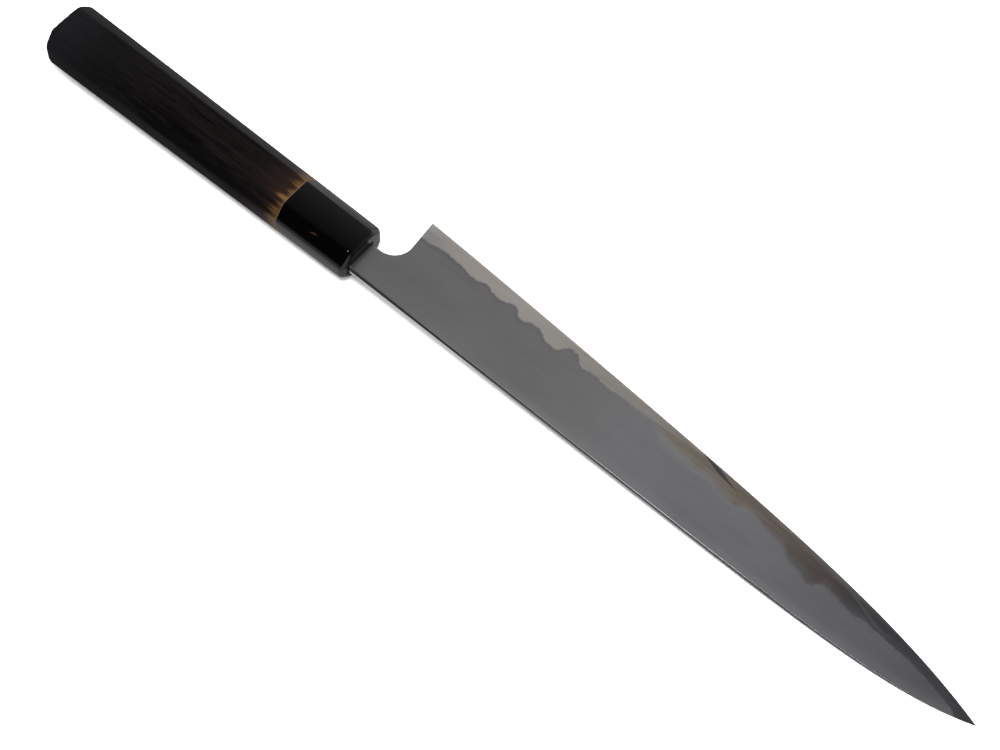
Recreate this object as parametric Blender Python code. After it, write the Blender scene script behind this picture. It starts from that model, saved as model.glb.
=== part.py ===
"""A sujihiki slicing knife with an octagonal handle of burnt wood and black horn.

The knife lies on its right side. +X runs along the handle towards the tip, +Y towards the cutting
edge, and +Z out of the blade's left face. Every piece is modelled from the centre of the ferrule's
front face, and one empty then carries the knife so that the origin is at its bottom centre.
"""

import math

import bmesh
import bpy
from mathutils import Vector

# Fits, in metres like every size here
GAP = 0.0003
CUT_THROUGH = 0.002

# The blade's outline
TIP_REACH = 0.2818
TIP_ACROSS = -0.0017
BLADE_HEIGHT = 0.0362
HEEL_SETBACK = 0.0106
HEEL_RAKE = math.radians(6.2)
NECK_HEIGHT = 0.0134
NECK_SLOPE = math.radians(5.0)
CHOIL_RADIUS = 0.0084
SPINE_ACROSS = -0.00847
SPINE_DRIFT = -0.0033

# How the outline bends: the share and the powers of two plain curves
EDGE_LEAN_SHARE = 0.625
EDGE_LEAN_POWER = 1.117
EDGE_BELLY_POWER = 6.2
SPINE_DROP_POWER = 10.2

# The blade's section
NECK_THICKNESS = 0.0042
EDGE_SHOULDER = 0.00022
DISTAL_TAPER_POWER = 0.6
FACE_CONVEXITY_POWER = 0.95
EDGE_BEVEL_WIDTH = 0.0006
EASED_CORNER = 0.0003

# The tang, hidden in the handle
NECK_SEAT = 0.0030
TANG_LENGTH = 0.1050
TANG_HEIGHT = 0.0084
TANG_END_HEIGHT = 0.0052
TANG_THICKNESS = 0.0030
TANG_END_THICKNESS = 0.0020

# The octagonal handle, which tapers from butt to front
HANDLE_LENGTH = 0.1550
BUTT_HEIGHT = 0.0251
BUTT_WIDTH = 0.0205
FRONT_HEIGHT = 0.0225
FRONT_WIDTH = 0.0176
FACET_LEG = 0.0050
BUTT_ROUNDING = 0.0023
FERRULE_LENGTH = 0.0335
FERRULE_ROUNDING = 0.0024
FERRULE_FRONT_WALL = 0.0070

# What lies inside the handle
SEAL_WALL = 0.0004
BEDDING_WALL = 0.0005
DOWEL_WEB = 0.0008
DOWEL_IN_GRIP = 0.0265
DOWEL_CHAMFER = 0.0005

# How finely the curves are cut
EDGE_STEPS = 40
CHOIL_STEPS = 8
HEEL_STEPS = 4
ROUNDING_STEPS = 4
CIRCLE_STEPS = 40
FACE_SHARES = (0.0, 0.15, 0.4, 0.65, 0.85, 1.0)
RING_LEAN = 0.25
TIP_CROWDING = 1.6
SHARP_ANGLE = math.radians(30.0)

# Finishes: name, colour, roughness and metallic value
STEEL = ("steel", (0.30, 0.30, 0.31), 0.32, 1.0)
HORN = ("black_horn", (0.010, 0.010, 0.012), 0.16, 0.0)
BURNT_WOOD = ("burnt_wood", (0.022, 0.016, 0.013), 0.50, 0.0)
DOWEL_WOOD = ("dowel_wood", (0.50, 0.34, 0.19), 0.60, 0.0)
BEDDING_RESIN = ("bedding_resin", (0.42, 0.30, 0.14), 0.35, 0.0)
SEAL_RESIN = ("seal_resin", (0.012, 0.012, 0.013), 0.40, 0.0)

# Places that several pieces share
NECK_UNDERSIDE = SPINE_ACROSS + NECK_HEIGHT
HEEL = Vector((HEEL_SETBACK, SPINE_ACROSS + BLADE_HEIGHT))
TIP = Vector((TIP_REACH, TIP_ACROSS))
MOUTH_DEPTH = NECK_SEAT + GAP
SEAL_ROOM = GAP + SEAL_WALL + GAP
TANG_ROOM = GAP + BEDDING_WALL + GAP
DOWEL_FRONT = -(FERRULE_FRONT_WALL + GAP)
DOWEL_BACK = -(FERRULE_LENGTH + DOWEL_IN_GRIP)
GRIP_FRONT = -(FERRULE_LENGTH + GAP)


def mix(first, last, share):
    """The value that lies a share of the way from the first to the last."""
    return first + (last - first) * share


def share_of(value, whole):
    """How far a value reaches into the whole, held between 0 and 1."""
    return min(max(value / whole, 0.0), 1.0)


# Meshes, objects and cuts


def loft(rings):
    """A closed mesh through rings of as many points each, with a cap at both ends.

    Points that coincide, as along the cutting edge and at the tip, become one.
    """
    bm = bmesh.new()
    loops = [[bm.verts.new(point) for point in ring] for ring in rings]
    count = len(loops[0])
    for near, far in zip(loops, loops[1:]):
        for i in range(count):
            j = (i + 1) % count
            bm.faces.new((near[i], near[j], far[j], far[i]))
    bm.faces.new(loops[0])
    bm.faces.new(loops[-1])
    bmesh.ops.remove_doubles(bm, verts=bm.verts, dist=1e-7)
    bmesh.ops.recalc_face_normals(bm, faces=bm.faces)
    return bm


def object_of(name, bm, frame):
    """An object that holds the mesh and hangs on the knife's empty."""
    mesh = bpy.data.meshes.new(name)
    bm.to_mesh(mesh)
    bm.free()
    obj = bpy.data.objects.new(name, mesh)
    bpy.context.scene.collection.objects.link(obj)
    obj.parent = frame
    return obj


def piece(name, bm, finish, frame):
    """One of the knife's pieces, in its own material, and shaded smooth where it is round."""
    obj = object_of(name, bm, frame)
    title, colour, roughness, metallic = finish
    material = bpy.data.materials.new(title)
    material.use_nodes = True
    shader = material.node_tree.nodes["Principled BSDF"]
    shader.inputs["Base Color"].default_value = (*colour, 1.0)
    shader.inputs["Roughness"].default_value = roughness
    shader.inputs["Metallic"].default_value = metallic
    obj.data.materials.append(material)
    obj.data.shade_smooth()
    obj.data.set_sharp_from_angle(angle=SHARP_ANGLE)
    return obj


def cut(target, name, bm):
    """Cut a mesh out of a piece. The cutter stays in the file and isn't rendered."""
    cutter = object_of(name, bm, target.parent)
    cutter.hide_render = True
    cutter.display_type = "WIRE"
    boolean = target.modifiers.new(name, "BOOLEAN")
    boolean.operation = "DIFFERENCE"
    boolean.solver = "EXACT"
    boolean.object = cutter


# Plain forms along the handle


def rectangle(x, low_y, high_y, half_width):
    """Four points at one place along the handle."""
    corners = ((low_y, half_width), (high_y, half_width), (high_y, -half_width), (low_y, -half_width))
    return [Vector((x, y, z)) for y, z in corners]


def circle(x, radius):
    """The points of a circle round the handle's axis."""
    angles = (2 * math.pi * step / CIRCLE_STEPS for step in range(CIRCLE_STEPS))
    return [Vector((x, radius * math.cos(angle), radius * math.sin(angle))) for angle in angles]


def octagon(x, inset):
    """The handle's section, drawn in by an inset on all eight sides."""
    share = -x / HANDLE_LENGTH
    y = mix(FRONT_HEIGHT, BUTT_HEIGHT, share) / 2 - inset
    z = mix(FRONT_WIDTH, BUTT_WIDTH, share) / 2 - inset
    leg = FACET_LEG - inset * (2 - math.sqrt(2))
    quarter = [(y, z - leg), (y - leg, z)]
    half = quarter + [(-b, c) for b, c in reversed(quarter)]
    return [Vector((x, b, c)) for b, c in half + [(-b, -c) for b, c in half]]


def rounded_end(x, rounding, outward):
    """The handle's sections round one of its ends, from the full one to the flat of the end."""
    rings = []
    for step in range(ROUNDING_STEPS + 1):
        angle = math.pi / 2 * step / ROUNDING_STEPS
        back = rounding * (1 - math.sin(angle))
        rings.append(octagon(x - outward * back, rounding * (1 - math.cos(angle))))
    return rings


# The blade's outline: x along the handle, y across it


def edge_y(x):
    """The cutting edge: a nearly straight lean from the heel, and a belly towards the tip."""
    share = share_of(x - HEEL.x, TIP.x - HEEL.x)
    lean = EDGE_LEAN_SHARE * share**EDGE_LEAN_POWER
    belly = (1 - EDGE_LEAN_SHARE) * share**EDGE_BELLY_POWER
    return mix(HEEL.y, TIP.y, lean + belly)


def spine_y(x):
    """The spine: it drifts away from the handle's axis, then drops to the tip."""
    share = share_of(x, TIP.x)
    drop = TIP.y - SPINE_ACROSS - SPINE_DRIFT
    return SPINE_ACROSS + SPINE_DRIFT * share + drop * share**SPINE_DROP_POWER


def choil():
    """The outline's points from the neck's underside, round the choil, to just short of the heel."""
    neck = Vector((0.0, NECK_UNDERSIDE))
    along_neck = Vector((math.cos(NECK_SLOPE), math.sin(NECK_SLOPE)))
    along_heel = Vector((-math.sin(HEEL_RAKE), math.cos(HEEL_RAKE)))
    reach = (HEEL - neck).cross(along_heel) / along_neck.cross(along_heel)
    turn = along_neck.angle(along_heel)
    start = neck + along_neck * (reach - CHOIL_RADIUS * math.tan(turn / 2))
    centre = start + Vector((-along_neck.y, along_neck.x)) * CHOIL_RADIUS
    points = [neck]
    for step in range(CHOIL_STEPS + 1):
        angle = NECK_SLOPE + turn * step / CHOIL_STEPS
        points.append(centre + Vector((math.sin(angle), -math.cos(angle))) * CHOIL_RADIUS)
    arc_end = points[-1]
    for step in range(1, HEEL_STEPS):
        points.append(arc_end.lerp(HEEL, step / HEEL_STEPS))
    return points


# The blade's section


def half_thickness(x, y):
    """How far a face stands from the blade's middle plane: flat at the neck, a wedge past the heel."""
    taper = (1 - share_of(x, TIP.x)) ** DISTAL_TAPER_POWER
    full = NECK_THICKNESS * taper / 2
    shoulder = EDGE_SHOULDER * taper / 2
    height = edge_y(x) - spine_y(x)
    depth = share_of(y - spine_y(x), height) if height > 0 else 1.0
    wedge = mix(shoulder, full, (1 - depth) ** FACE_CONVEXITY_POWER)
    past_neck = share_of(x, HEEL.x)
    return mix(full, wedge, past_neck * past_neck * (3 - 2 * past_neck))


def section(spine, opposite, half_at, sharp):
    """A ring of points from the spine to the point opposite it on the left face, and back on the right."""
    length = (opposite - spine).length
    ease = min(EASED_CORNER, length / 4)
    bevel = min(EDGE_BEVEL_WIDTH if sharp else EASED_CORNER, length / 4)
    left = []
    for depth in [0.0] + [mix(ease, length - bevel, share) for share in FACE_SHARES] + [length]:
        place = spine.lerp(opposite, depth / length) if length > 0 else spine
        half = half_at(place.x, place.y)
        left.append(Vector((place.x, place.y, half)))
    for end in (left[0], left[-1]):
        end.z = max(end.z - EASED_CORNER, end.z / 2)
    if sharp:
        left[-1].z = 0.0
    return left + [Vector((point.x, point.y, -point.z)) for point in reversed(left)]


def tang_size(x):
    """The tang's height and thickness at a place inside the handle."""
    share = (-x - NECK_SEAT) / (TANG_LENGTH - NECK_SEAT)
    return mix(TANG_HEIGHT, TANG_END_HEIGHT, share), mix(TANG_THICKNESS, TANG_END_THICKNESS, share)


def tang_section(x):
    """A ring of the tang, which is flat on all its sides."""
    height, thickness = tang_size(x)
    spine = Vector((x, -height / 2))
    return section(spine, Vector((x, height / 2)), lambda _x, _y: thickness / 2, sharp=False)


def tang_form(front, room):
    """The tang's form grown by some room on all sides, from a place in front back past its end."""
    rings = []
    for x in (front, -(TANG_LENGTH + room)):
        height, thickness = tang_size(x)
        half = height / 2 + room
        rings.append(rectangle(x, -half, half, thickness / 2 + room))
    return loft(rings)


def neck_form(back, front, room):
    """The neck's straight end grown by some room on four sides."""
    half_width = NECK_THICKNESS / 2 + room
    ends = (back, front)
    return loft([rectangle(x, SPINE_ACROSS - room, NECK_UNDERSIDE + room, half_width) for x in ends])


# The pieces


def make_blade(frame):
    """The tang, the neck that seats in the ferrule, and the blade, forged as one."""
    seat = Vector((-NECK_SEAT, SPINE_ACROSS)), Vector((-NECK_SEAT, NECK_UNDERSIDE))
    rings = [tang_section(-TANG_LENGTH), tang_section(-NECK_SEAT)]
    rings.append(section(*seat, half_thickness, sharp=False))
    for point in choil():
        x = point.x + RING_LEAN * (point.y - NECK_UNDERSIDE)
        rings.append(section(Vector((x, spine_y(x))), point, half_thickness, sharp=False))
    heel_ring_x = HEEL.x + RING_LEAN * (HEEL.y - NECK_UNDERSIDE)
    for step in range(EDGE_STEPS):
        share = 1 - (1 - step / EDGE_STEPS) ** TIP_CROWDING
        x = mix(heel_ring_x, TIP.x, share)
        edge_x = mix(HEEL.x, TIP.x, share)
        edge = Vector((edge_x, edge_y(edge_x)))
        rings.append(section(Vector((x, spine_y(x))), edge, half_thickness, sharp=True))
    rings.append([Vector((TIP.x, TIP.y, 0.0))] * len(rings[0]))
    return piece("blade", loft(rings), STEEL, frame)


def make_ferrule(frame):
    """The horn ferrule: a mouth for the neck, a slot for the tang and a bore for the dowel."""
    rings = [octagon(-FERRULE_LENGTH, 0.0)] + rounded_end(0.0, FERRULE_ROUNDING, outward=1)
    ferrule = piece("ferrule", loft(rings), HORN, frame)
    cut(ferrule, "ferrule_mouth", neck_form(-MOUTH_DEPTH, CUT_THROUGH, SEAL_ROOM))
    cut(ferrule, "ferrule_slot", tang_form(-NECK_SEAT / 2, TANG_ROOM))
    bore = (-FERRULE_LENGTH - CUT_THROUGH, -FERRULE_FRONT_WALL)
    cut(ferrule, "ferrule_bore", loft([circle(x, dowel_radius() + GAP) for x in bore]))
    return ferrule


def make_grip(frame):
    """The burnt grip: rounded at the butt, bored for the dowel and slotted for the tang's end."""
    rings = list(reversed(rounded_end(-HANDLE_LENGTH, BUTT_ROUNDING, outward=-1)))
    grip = piece("grip", loft(rings + [octagon(GRIP_FRONT, 0.0)]), BURNT_WOOD, frame)
    bore = (DOWEL_BACK - GAP, GRIP_FRONT + CUT_THROUGH)
    cut(grip, "grip_bore", loft([circle(x, dowel_radius() + GAP) for x in bore]))
    cut(grip, "grip_slot", tang_form(GRIP_FRONT, TANG_ROOM))
    return grip


def dowel_radius():
    """The dowel's radius, which leaves a web of wood outside the corners of the tang's slot."""
    height, thickness = tang_size(DOWEL_FRONT)
    return math.hypot(height / 2 + TANG_ROOM, thickness / 2 + TANG_ROOM) + DOWEL_WEB


def make_dowel(frame):
    """The dowel that joins ferrule and grip, chamfered at both ends and slotted for the tang."""
    radius = dowel_radius()
    inset = DOWEL_CHAMFER
    rings = [
        circle(DOWEL_BACK, radius - inset),
        circle(DOWEL_BACK + inset, radius),
        circle(DOWEL_FRONT - inset, radius),
        circle(DOWEL_FRONT, radius - inset),
    ]
    dowel = piece("dowel_core", loft(rings), DOWEL_WOOD, frame)
    cut(dowel, "dowel_slot", tang_form(DOWEL_FRONT + CUT_THROUGH, TANG_ROOM))
    return dowel


def make_bedding(frame):
    """The resin sleeve between the tang and its slot, closed behind the tang's end."""
    bedding = piece("tang_bedding", tang_form(-MOUTH_DEPTH, GAP + BEDDING_WALL), BEDDING_RESIN, frame)
    cut(bedding, "bedding_hollow", tang_form(-MOUTH_DEPTH + CUT_THROUGH, GAP))
    return bedding


def make_seal(frame):
    """The seal that fills the ferrule's mouth round the neck."""
    seal = piece("mouth_seal", neck_form(-NECK_SEAT, 0.0, GAP + SEAL_WALL), SEAL_RESIN, frame)
    cut(seal, "seal_hollow", neck_form(-NECK_SEAT - CUT_THROUGH, CUT_THROUGH, GAP))
    return seal


def bottom_centre(pieces):
    """The middle of the bottom of the box that holds the pieces."""
    points = [vertex.co for obj in pieces for vertex in obj.data.vertices]
    low = [min(point[axis] for point in points) for axis in range(3)]
    high = [max(point[axis] for point in points) for axis in range(3)]
    return Vector(((low[0] + high[0]) / 2, (low[1] + high[1]) / 2, low[2]))


def main():
    """Clear the scene and build the knife on its empty."""
    for obj in list(bpy.data.objects):
        bpy.data.objects.remove(obj)
    frame = bpy.data.objects.new("knife", None)
    bpy.context.scene.collection.objects.link(frame)
    makers = (make_blade, make_ferrule, make_grip, make_dowel, make_bedding, make_seal)
    pieces = [make(frame) for make in makers]
    frame.location = -bottom_centre(pieces)


main()
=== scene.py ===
"""The looks of a sujihiki slicing knife: polished steel with a hamon, black horn and burnt wood.

The knife's own axes start at the centre of the ferrule's front face: +X runs to the tip, +Y to the
cutting edge and +Z out of the left face. Sizes are in metres, and MM and span() turn millimetres into
them.
"""

from __future__ import annotations

import logging
import math
from abc import ABC, abstractmethod
from collections.abc import Callable, Mapping, Sequence
from dataclasses import dataclass, field
from enum import Enum

import bmesh
import bpy
from mathutils import Matrix, Vector, noise


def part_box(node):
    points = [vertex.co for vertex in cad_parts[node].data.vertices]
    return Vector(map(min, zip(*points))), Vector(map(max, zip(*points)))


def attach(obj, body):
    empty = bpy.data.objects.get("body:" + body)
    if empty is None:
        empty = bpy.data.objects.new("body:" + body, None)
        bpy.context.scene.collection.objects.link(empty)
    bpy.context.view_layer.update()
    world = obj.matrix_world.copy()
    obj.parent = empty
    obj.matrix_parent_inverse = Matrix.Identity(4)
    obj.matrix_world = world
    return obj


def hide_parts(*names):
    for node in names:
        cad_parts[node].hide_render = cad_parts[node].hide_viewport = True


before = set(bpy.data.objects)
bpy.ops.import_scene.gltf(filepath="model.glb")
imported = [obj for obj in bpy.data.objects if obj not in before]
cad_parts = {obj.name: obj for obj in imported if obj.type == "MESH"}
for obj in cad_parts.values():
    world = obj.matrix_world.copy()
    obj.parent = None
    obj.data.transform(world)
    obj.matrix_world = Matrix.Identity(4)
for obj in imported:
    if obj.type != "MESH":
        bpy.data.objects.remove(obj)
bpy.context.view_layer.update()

LOG = logging.getLogger("sujihiki")
BODY = "root"
MM = 0.001
TINY = 1e-9

Ring = Sequence[Vector]
Colour = tuple[float, float, float]
Span = tuple[float, float]
Stops = Sequence[tuple[float, Colour]]
Points = Sequence[tuple[float, float]]
Sockets = dict[str, object]


class Node(Enum):
    """The solids of the construction model."""

    BLADE = "blade"
    FERRULE = "ferrule"
    GRIP = "grip"
    DOWEL = "dowel_core"
    BEDDING = "tang_bedding"
    SEAL = "mouth_seal"


class Slot(Enum):
    """The record's material slots."""

    STEEL = "blade_steel"
    HORN = "horn"
    WOOD = "burnt_wood"
    DOWEL = "dowel_wood"
    BEDDING = "bedding_resin"
    SEAL = "seal_resin"


class Step(Enum):
    """The steps of shader maths that the finishes use."""

    ADD = "ADD"
    SUBTRACT = "SUBTRACT"
    MULTIPLY = "MULTIPLY"
    DIVIDE = "DIVIDE"
    POWER = "POWER"
    MINIMUM = "MINIMUM"
    MAXIMUM = "MAXIMUM"
    ABSOLUTE = "ABSOLUTE"


class Lay(Enum):
    """How one colour is laid over another."""

    MIX = "MIX"
    ADD = "ADD"
    OVERLAY = "OVERLAY"


# Shader maths


@dataclass(frozen=True)
class Link:
    """A socket of a node tree that other nodes can read."""

    graph: Graph
    socket: bpy.types.NodeSocket


class Value(Link):
    """A number that varies over a surface. Python's operators add Math nodes to it."""

    def __add__(self, other: Number) -> Value:
        """The sum of two values."""
        return self.graph.math(Step.ADD, self, other)

    def __sub__(self, other: Number) -> Value:
        """The difference of two values."""
        return self.graph.math(Step.SUBTRACT, self, other)

    def __rsub__(self, other: Number) -> Value:
        """A plain number less a value."""
        return self.graph.math(Step.SUBTRACT, other, self)

    def __mul__(self, other: Number) -> Value:
        """The product of two values."""
        return self.graph.math(Step.MULTIPLY, self, other)

    def __truediv__(self, other: Number) -> Value:
        """The quotient of two values."""
        return self.graph.math(Step.DIVIDE, self, other)

    def __pow__(self, power: Number) -> Value:
        """A value raised to a power."""
        return self.graph.math(Step.POWER, self, power)

    def __abs__(self) -> Value:
        """How far a value is from nothing."""
        return self.graph.math(Step.ABSOLUTE, self, 0.0)


Number = float | Value


@dataclass(frozen=True)
class Grain:
    """A noise, drawn out along the axes where it has fewer waves in a metre."""

    waves: tuple[float, float, float]
    detail: float = 3.0
    rough: float = 0.55


class Graph:
    """The node tree of one material or of the world."""

    def __init__(self, tree: bpy.types.NodeTree) -> None:
        """Take over the node tree of a material or of the world, and empty it."""
        self.tree = tree
        self.tree.nodes.clear()

    def node(
        self,
        kind: str,
        settings: Mapping[str, object] | None = None,
        values: Mapping[int | str, object] | None = None,
        output: int | str = 0,
    ) -> Value:
        """Add a node, set it up and feed its sockets.

        Args:
            kind: The node's type.
            settings: Its settings. "stops" are a ramp's places and colours, "points" a curve's.
            values: What each input socket holds, as a number, a colour or a link.
            output: The output socket that is wanted.

        Returns:
            The wanted output socket.
        """
        made = self.tree.nodes.new(kind)
        for name, setting in (settings or {}).items():
            if name == "stops":
                self._set_stops(made.color_ramp, setting)
            elif name == "points":
                self._set_points(made.mapping, setting)
            else:
                setattr(made, name, setting)
        for name, value in (values or {}).items():
            if isinstance(value, Link):
                self.tree.links.new(value.socket, made.inputs[name])
            else:
                made.inputs[name].default_value = value
        return Value(self, made.outputs[output])

    @staticmethod
    def _set_stops(ramp: bpy.types.ColorRamp, stops: Stops) -> None:
        """Give a colour ramp its stops.

        Args:
            ramp: The ramp, as a new node has it.
            stops: Places from 0 to 1 with their colours.
        """
        while len(ramp.elements) < len(stops):
            ramp.elements.new(1.0)
        for element, (place, colour) in zip(ramp.elements, stops):
            element.position = place
            element.color = (*colour, 1.0)

    @staticmethod
    def _set_points(mapping: bpy.types.CurveMapping, points: Points) -> None:
        """Give a value curve its points.

        Args:
            mapping: The curve's mapping, as a new node has it.
            points: The places that the curve goes through, from 0 to 1 both ways.
        """
        curve = mapping.curves[0]
        while len(curve.points) < len(points):
            curve.points.new(1.0, 1.0)
        for point, place in zip(curve.points, points):
            point.location = place
        mapping.extend = "HORIZONTAL"
        mapping.update()

    def math(self, step: Step, first: Number, second: Number) -> Value:
        """A step of maths with two values."""
        return self.node("ShaderNodeMath", {"operation": step.value}, {0: first, 1: second})

    def least(self, first: Number, second: Number) -> Value:
        """The smaller of two values."""
        return self.math(Step.MINIMUM, first, second)

    def most(self, first: Number, second: Number) -> Value:
        """The larger of two values."""
        return self.math(Step.MAXIMUM, first, second)

    def rise(self, value: Value, start: Number, end: Number) -> Value:
        """How far a value has gone from a start to an end, from 0 to 1 with soft turns."""
        settings = {"interpolation_type": "SMOOTHSTEP"}
        return self.node("ShaderNodeMapRange", settings, {0: value, 1: start, 2: end, 3: 0.0, 4: 1.0})

    def fall(self, value: Value, start: Number, end: Number) -> Value:
        """The same way from 1 to 0."""
        return 1.0 - self.rise(value, start, end)

    def ramp(self, value: Value, stops: Stops) -> Value:
        """A colour that goes through stops as a value goes from 0 to 1."""
        return self.node("ShaderNodeValToRGB", {"stops": stops}, {0: value})

    def blend(
        self,
        share: Number,
        first: Link | Colour,
        second: Link | Colour,
        how: Lay = Lay.MIX,
    ) -> Value:
        """Blend two colours.

        Args:
            share: How much of the second colour shows, from 0 to 1.
            first: The colour at a share of 0.
            second: The colour at a share of 1.
            how: How the second is laid over the first.

        Returns:
            The blended colour.
        """
        settings = {"data_type": "RGBA", "blend_type": how.value}
        first, second = (c if isinstance(c, Link) else (*c, 1.0) for c in (first, second))
        return self.node("ShaderNodeMix", settings, {0: share, 6: first, 7: second}, output=2)

    def place(self, origin: Vector) -> Value:
        """The surface's place on the knife's own axes, as a vector."""
        spot = self.node("ShaderNodeTexCoord", output="Object")
        return self.node("ShaderNodeVectorMath", {"operation": "SUBTRACT"}, {0: spot, 1: origin})

    def parts(self, vector: Link) -> tuple[Value, Value, Value]:
        """A vector's three numbers."""
        split = self.node("ShaderNodeSeparateXYZ", values={0: vector})
        return tuple(Value(self, socket) for socket in split.socket.node.outputs)

    def grain(self, vector: Link, grain: Grain) -> Value:
        """A noise from 0 to 1.

        Args:
            vector: Where the noise is read.
            grain: Its waves and how they break up.

        Returns:
            The noise.
        """
        values = {0: vector, 1: grain.waves}
        stretched = self.node("ShaderNodeVectorMath", {"operation": "MULTIPLY"}, values)
        values = {"Vector": stretched, "Scale": 1.0, "Detail": grain.detail, "Roughness": grain.rough}
        return self.node("ShaderNodeTexNoise", None, values)

    def curve(self, value: Value, points: Points) -> Value:
        """A value that follows a curve through points as another goes from 0 to 1."""
        return self.node("ShaderNodeFloatCurve", {"points": points}, {"Value": value})

    def grey(self, value: Value) -> Value:
        """A value as a grey colour."""
        return self.node("ShaderNodeCombineColor", None, {0: value, 1: value, 2: value})

    def flatness(self) -> Value:
        """1 on the blade's faces and 0 on surfaces that look along their plane."""
        normal = self.node("ShaderNodeTexCoord", output="Normal")
        return abs(self.parts(normal)[2])

    def end(self, kind: str, shader: Link) -> None:
        """Add the output node that a shader feeds."""
        self.tree.links.new(shader.socket, self.tree.nodes.new(kind).inputs[0])

    def bump(self, height: Value, depth: float) -> Value:
        """A normal that leans with a height, where a height of 1 stands for a depth in metres."""
        return self.node("ShaderNodeBump", None, {"Strength": 1.0, "Distance": depth, "Height": height})


# Numbers


def span(first: float, last: float) -> Span:
    """Two lengths in millimetres as metres."""
    return first * MM, last * MM


def mix(first: float, last: float, share: float) -> float:
    """The number that lies a share of the way from the first to the last."""
    return first + (last - first) * share


def shares(steps: int) -> list[float]:
    """Even shares from 0 to 1, both ends among them."""
    return [step / steps for step in range(steps + 1)]


def held(value: Number) -> Number:
    """Hold a number between 0 and 1.

    Args:
        value: A plain number, or a value of a node tree.

    Returns:
        The same kind of number.
    """
    if isinstance(value, Value):
        return value.graph.least(value.graph.most(value, 0.0), 1.0)
    return min(max(value, 0.0), 1.0)


@dataclass(frozen=True)
class Outline:
    """The blade's outline: its edge and spine as plain curves, on the knife's axes."""

    tip: Vector
    heel: Vector
    spine_across: float = -8.47 * MM
    spine_drift: float = -3.3 * MM
    lean_share: float = 0.625
    lean_power: float = 1.117
    belly_power: float = 6.2
    drop_power: float = 10.2

    def edge(self, x: Number) -> Number:
        """How far across the cutting edge lies.

        Args:
            x: The place along the blade, as a number or a value of a node tree.

        Returns:
            The edge's y, as the same kind of number.
        """
        share = held((x - self.heel.x) * (1 / (self.tip.x - self.heel.x)))
        fall = share**self.lean_power * self.lean_share + share**self.belly_power * (1 - self.lean_share)
        return fall * (self.tip.y - self.heel.y) + self.heel.y

    def spine(self, x: Number) -> Number:
        """How far across the spine lies.

        Args:
            x: The place along the blade, as a number or a value of a node tree.

        Returns:
            The spine's y, as the same kind of number.
        """
        share = held(x * (1 / self.tip.x))
        drop = self.tip.y - self.spine_across - self.spine_drift
        return share * self.spine_drift + share**self.drop_power * drop + self.spine_across


# Finishes


@dataclass(frozen=True)
class Tint:
    """A colour that fades with the distance from a line, and comes and goes along the knife.

    It is full at the first distance of fades and gone at the second. It rises over the stretch of
    comes, falls over the stretch of goes, and left is the share of it that stays beyond.
    """

    colour: Colour
    share: float
    fades: Span
    comes: Span | None = None
    goes: Span | None = None
    left: float = 0.0
    how: Lay = Lay.MIX

    def over(self, tone: Value, away: Value, along: Value, more: Number = 1.0) -> Value:
        """Lay the tint over a colour.

        Args:
            tone: The colour so far.
            away: The distance that the tint fades with.
            along: The place along the knife.
            more: A further share, such as a grain.

        Returns:
            The tinted colour.
        """
        graph = tone.graph
        share = graph.fall(away, *self.fades) * self.share * more
        if self.comes:
            share = share * graph.rise(along, *self.comes)
        if self.goes:
            share = share * (1.0 - graph.rise(along, *self.goes) * (1.0 - self.left))
        return graph.blend(share, tone, self.colour, self.how)


@dataclass(frozen=True)
class Finish(ABC):
    """A material that is worked out on the knife's own axes."""

    origin: Vector

    @abstractmethod
    def sockets(self, graph: Graph) -> Sockets:
        """What the Principled shader's sockets hold.

        Args:
            graph: The material's node tree.

        Returns:
            Each socket's name with its number, colour or link.
        """

    def material(self, name: str) -> bpy.types.Material:
        """Make the material.

        Args:
            name: Its name.

        Returns:
            The material, ready to be put on a piece.
        """
        made = bpy.data.materials.new(name)
        made.use_nodes = True
        graph = Graph(made.node_tree)
        shader = graph.node("ShaderNodeBsdfPrincipled", None, self.sockets(graph))
        graph.end("ShaderNodeOutputMaterial", shader)
        return made


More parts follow.
